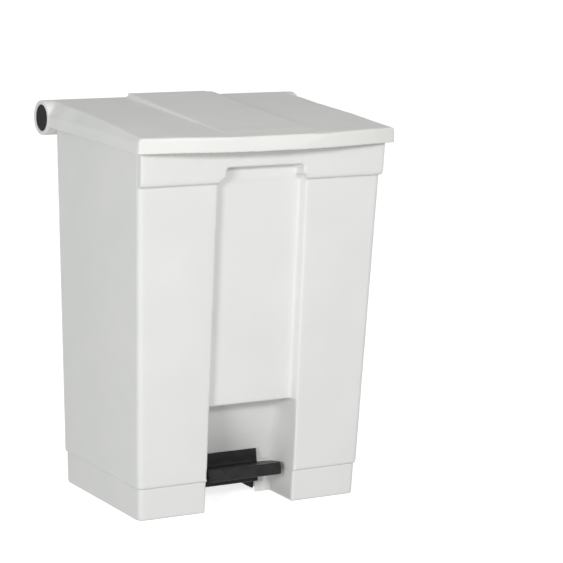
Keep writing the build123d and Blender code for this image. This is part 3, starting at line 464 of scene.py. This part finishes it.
moulded_tub()
moulded_plinth()
moulded_lid()
moulded_pedal()
softened("lift_lug", "lug", "lid", zinc_steel, PRESSED_EDGE, 2)
softened("hinge_rod", "hinge_bar", "lid", axle_steel, PRESSED_EDGE, 2)
softened("lift_rod", "push_rod", "lift_rod", rod_steel, PRESSED_EDGE, 2)
softened("rod_foot", "push_rod_foot", "lift_rod", nylon, MOULDED_EDGE)
softened("rod_pusher", "push_rod_head", "lift_rod", nylon, MOULDED_EDGE)
softened("upper_rod_guide", "guide_above", "bin_body", nylon, MOULDED_EDGE)
softened("lower_rod_guide", "guide_below", "bin_body", nylon, MOULDED_EDGE)
softened("pedal_axle", "axle", "bin_body", axle_steel, TURNED_EDGE, 2)
softened("lift_bar", "cross_bar", "pedal", axle_steel, TURNED_EDGE, 2)
softened("rest_pad", "rest_cushion", "bin_body", soft_black, PRESSED_EDGE)
softened("lever_rivets", "rivets", "pedal", zinc_screw, SCREW_EDGE, 2)
softened("lug_screws", "screws_lug", "lid", zinc_screw, SCREW_EDGE, 2)
softened("base_screws", "screws_base", "bin_body", zinc_screw, SCREW_EDGE, 2)
softened("bracket_screws", "screws_bracket", "bin_body", zinc_screw, SCREW_EDGE, 2)
softened("rear_cover_screws", "screws_cover", "bin_body", zinc_screw, SCREW_EDGE, 2)


# ---------------------------------------------------------------- floor, light and camera
def pale_floor():
    """Plain pale floor that glows a little, as a lit studio sweep does."""
    FLOOR_HALF = 40.0
    GLOW = 0.72
    PAPER = (0.88, 0.88, 0.88)
    PAPER_SHADE = (0.875, 0.875, 0.875)
    PAPER_LIGHT = (0.885, 0.885, 0.885)
    bm = bmesh.new()
    bmesh.ops.create_grid(bm, x_segments=1, y_segments=1, size=FLOOR_HALF)
    mesh = bpy.data.meshes.new("floor")
    bm.to_mesh(mesh)
    bm.free()
    floor = bpy.data.objects.new("floor", mesh)
    bpy.context.scene.collection.objects.link(floor)
    finish, shader = new_finish("floor_paper", PAPER, 0.9, specular=0.1)
    shader.inputs["Emission Color"].default_value = (1.0, 1.0, 1.0, 1.0)
    shader.inputs["Emission Strength"].default_value = GLOW
    cloud = noise_at(finish, 0.6, 2.0)
    tint = ramp_between(finish, cloud.outputs["Fac"], PAPER_SHADE, PAPER_LIGHT)
    finish.node_tree.links.new(tint.outputs["Color"], shader.inputs["Base Color"])
    mesh.materials.append(finish)
    # The glow doesn't light the bin from below.
    floor.visible_diffuse = False


def soft_box(name, place, target, size, power, colour):
    """Square area light that faces a point."""
    lamp = bpy.data.lights.new(name, "AREA")
    lamp.shape = "SQUARE"
    lamp.size = size
    lamp.energy = power
    lamp.color = colour
    light = bpy.data.objects.new(name, lamp)
    light.location = place
    light.rotation_euler = (Vector(target) - Vector(place)).to_track_quat("-Z", "Y").to_euler()
    bpy.context.scene.collection.objects.link(light)


def studio():
    """Pale surround, a low key light in front, a soft one at the left and a weak one overhead."""
    world = bpy.data.worlds.new("studio")
    bpy.context.scene.world = world
    world.use_nodes = True
    background = world.node_tree.nodes["Background"]
    background.inputs["Color"].default_value = (0.98, 1.0, 0.985, 1.0)
    background.inputs["Strength"].default_value = 0.39
    soft_box("key", (0.25, -2.80, 1.55), (0.0, 0.0, 0.30), size=0.42, power=30.0, colour=(1.0, 0.99, 0.97))
    soft_box("side", (-2.55, -2.00, 1.00), (0.0, 0.0, 0.25), size=0.8, power=44.0, colour=(0.99, 1.0, 0.99))
    soft_box("overhead", (0.3, -0.4, 2.6), (0.0, 0.0, 0.6), size=1.2, power=5.2, colour=(1.0, 1.0, 0.97))


def look_from_the_front_left():
    """Camera a little above the bin, left of its front."""
    PLACE = (-2.051, -3.590, 1.180)
    LEFT_OF_FRONT = 31.31
    LOOKING_DOWN = 11.09
    ROLL = 2.0
    lens = bpy.data.cameras.new("camera")
    lens.lens = 156.8
    lens.sensor_width = 36.0
    camera = bpy.data.objects.new("camera", lens)
    turn = Matrix.Rotation(radians(-LEFT_OF_FRONT), 4, "Z")
    tip = Matrix.Rotation(radians(90.0 - LOOKING_DOWN), 4, "X")
    roll = Matrix.Rotation(radians(ROLL), 4, "Z")
    camera.matrix_world = Matrix.Translation(PLACE) @ turn @ tip @ roll
    bpy.context.scene.collection.objects.link(camera)
    bpy.context.scene.camera = camera


pale_floor()
studio()
look_from_the_front_left()
bpy.context.scene.view_settings.view_transform = "Standard"
